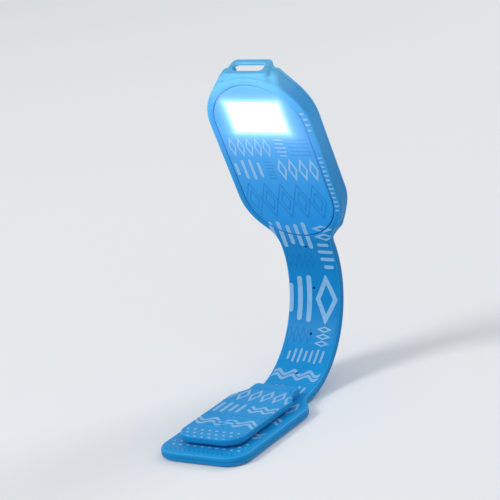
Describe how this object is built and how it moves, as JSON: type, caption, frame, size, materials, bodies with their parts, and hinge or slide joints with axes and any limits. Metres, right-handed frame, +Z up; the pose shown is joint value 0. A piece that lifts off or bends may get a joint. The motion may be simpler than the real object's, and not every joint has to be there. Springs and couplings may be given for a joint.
{
  "type": "clip on reading lamp",
  "caption": "Clip-on reading lamp: a soft flexible strip with a flat spring clip at one end and a rounded lit head with a lanyard loop at the other.",
  "frame": {"origin": "on the clip's flat underside, on the middle line, where the neck starts to rise", "axes": "+X across the strip, +Z up from the clip's underside, the clip opens towards -Y and the lit face looks along -Y"},
  "size_m": [0.036, 0.0842, 0.1095],
  "materials": {
    "soft_blue": "satin",
    "neck_blue": "satin",
    "panel_blue": "satin",
    "rear_blue": "satin",
    "lens_clear": "diffuse",
    "white_plastic": "matte",
    "button_blue": "satin",
    "board_green": "satin",
    "chip_black": "matte",
    "led_yellow": "satin",
    "cell_steel": "brushed",
    "spring_steel": "brushed",
    "core_metal": "satin",
    "screw_steel": "polished"
  },
  "bodies": {
    "clip_base": {"clip_leaf": "soft_blue", "leaf_spring": "spring_steel", "core_root": "core_metal"},
    "neck_1": {"neck_link_1": "neck_blue", "core_plate_1": "core_metal"},
    "neck_2": {"neck_link_2": "neck_blue", "core_plate_2": "core_metal"},
    "neck_3": {"neck_link_3": "neck_blue", "core_plate_3": "core_metal"},
    "neck_4": {"neck_link_4": "neck_blue", "core_plate_4": "core_metal"},
    "neck_5": {"neck_link_5": "neck_blue", "core_plate_5": "core_metal"},
    "head": {"head_sleeve": "soft_blue", "core_head": "core_metal", "front_cover": "panel_blue", "lens": "lens_clear", "reflector": "white_plastic", "circuit_board": "board_green", "led_chips": "led_yellow", "tact_switch": "chip_black", "driver_chip": "chip_black", "resistors": "chip_black", "cell_upper": "cell_steel", "cell_lower": "cell_steel", "battery_frame": "white_plastic", "contact_minus": "spring_steel", "contact_plus": "spring_steel", "contact_bridge": "spring_steel", "rear_cover": "rear_blue", "battery_door": "rear_blue", "cover_screws": "screw_steel", "door_screws": "screw_steel"},
    "tongue": {"clip_tongue": "soft_blue", "tongue_spring": "spring_steel"},
    "button": {"power_button": "button_blue", "switch_plunger": "white_plastic"}
  },
  "joints": [
    {"name": "neck_bend_1", "type": "hinge", "parent": "clip_base", "child": "neck_1", "pos_m": [0, 0.00877, 0.00281], "axis": [1, 0, 0], "range_deg": [-30, 11]},
    {"name": "neck_bend_2", "type": "hinge", "parent": "neck_1", "child": "neck_2", "pos_m": [0, 0.0159, 0.00606], "axis": [1, 0, 0], "range_deg": [-30, 11]},
    {"name": "neck_bend_3", "type": "hinge", "parent": "neck_2", "child": "neck_3", "pos_m": [0, 0.02194, 0.01104], "axis": [1, 0, 0], "range_deg": [-30, 11]},
    {"name": "neck_bend_4", "type": "hinge", "parent": "neck_3", "child": "neck_4", "pos_m": [0, 0.02649, 0.01742], "axis": [1, 0, 0], "range_deg": [-30, 11]},
    {"name": "neck_bend_5", "type": "hinge", "parent": "neck_4", "child": "neck_5", "pos_m": [0, 0.02923, 0.02475], "axis": [1, 0, 0], "range_deg": [-30, 11]},
    {"name": "neck_bend_6", "type": "hinge", "parent": "neck_5", "child": "head", "pos_m": [0, 0.02998, 0.03255], "axis": [1, 0, 0], "range_deg": [-30, 11]},
    {"name": "clip_open", "type": "hinge", "parent": "clip_base", "child": "tongue", "pos_m": [0, -0.0052, 0.005], "axis": [-1, 0, 0], "range_deg": [0, 25], "stiffness_Nm_per_rad": 0.1, "springref_deg": -14.32},
    {"name": "button_press", "type": "slide", "parent": "head", "child": "button", "axis": [0, -0.9063, -0.4226], "range_m": [0, 0.0003], "stiffness_N_per_m": 4000, "springref_m": -0.0002}
  ]
}
